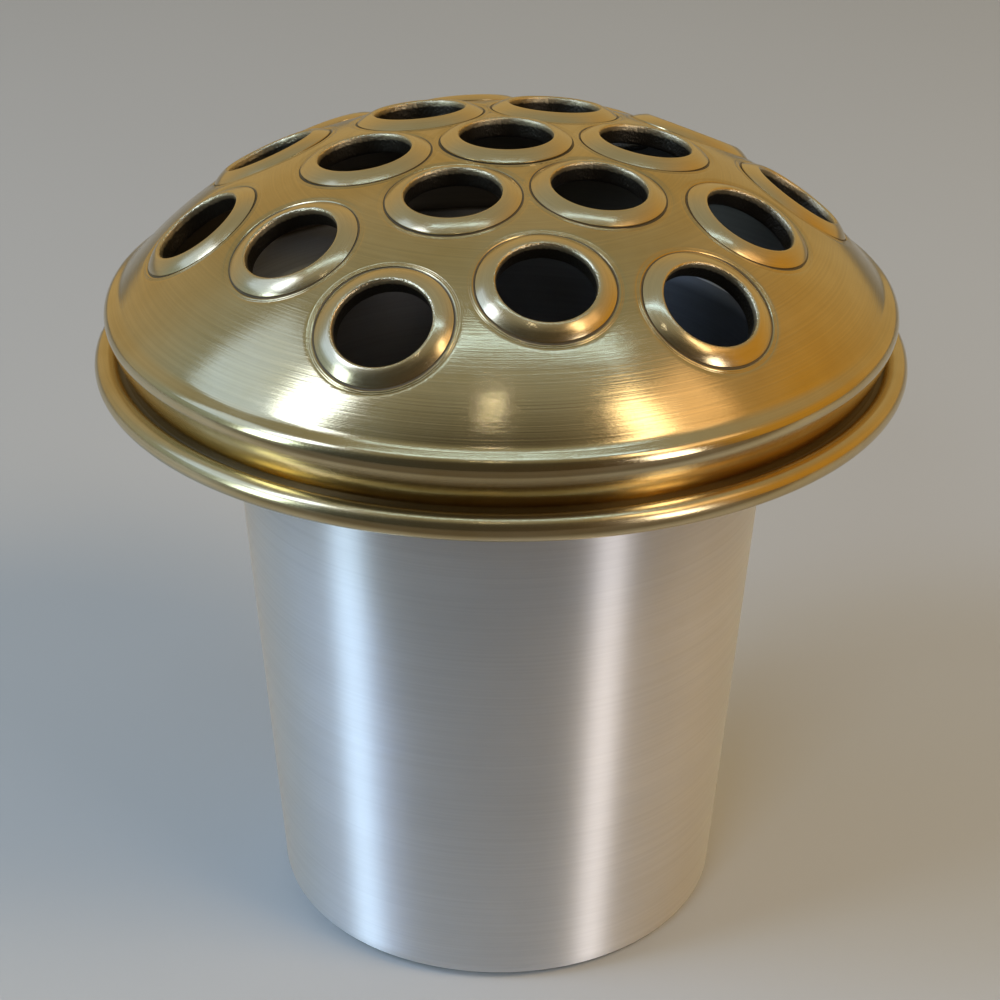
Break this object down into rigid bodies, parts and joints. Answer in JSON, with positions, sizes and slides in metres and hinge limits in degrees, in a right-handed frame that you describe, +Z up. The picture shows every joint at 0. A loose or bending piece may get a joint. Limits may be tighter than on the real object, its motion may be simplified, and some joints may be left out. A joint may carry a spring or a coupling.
{
  "type": "flower frog",
  "caption": "Flower holder for cut stems: a tapered aluminium pot with a rolled gold trim ring, and a loose domed gold lid with eyelet-lined stem holes.",
  "frame": {"origin": "centre of the pot's underside, on the surface that it stands on", "axes": "+Z up along the axis of the pot and the lid; -Y is the side seen in front"},
  "size_m": [0.127, 0.127, 0.1316],
  "materials": {
    "spun_aluminium": "satin, fine spin lines round the pot",
    "gold_sheet": "gold anodised, semi-bright, fine spin lines",
    "bright_gold": "gold anodised, bright"
  },
  "bodies": {
    "pot": {"container": "spun_aluminium", "trim_ring": "gold_sheet"},
    "lid": {"dome_lid": "gold_sheet", "eyelet_01": "bright_gold", "eyelet_02": "bright_gold", "eyelet_03": "bright_gold", "eyelet_04": "bright_gold", "eyelet_05": "bright_gold", "eyelet_06": "bright_gold", "eyelet_07": "bright_gold", "eyelet_08": "bright_gold", "eyelet_09": "bright_gold", "eyelet_10": "bright_gold", "eyelet_11": "bright_gold", "eyelet_12": "bright_gold", "eyelet_13": "bright_gold", "eyelet_14": "bright_gold", "eyelet_15": "bright_gold", "eyelet_16": "bright_gold", "eyelet_17": "bright_gold", "eyelet_18": "bright_gold", "eyelet_19": "bright_gold"}
  },
  "joints": [
    {"name": "lid_lift", "type": "slide", "parent": "pot", "child": "lid", "axis": [0, 0, 1], "range_m": [0, 0.06]}
  ]
}
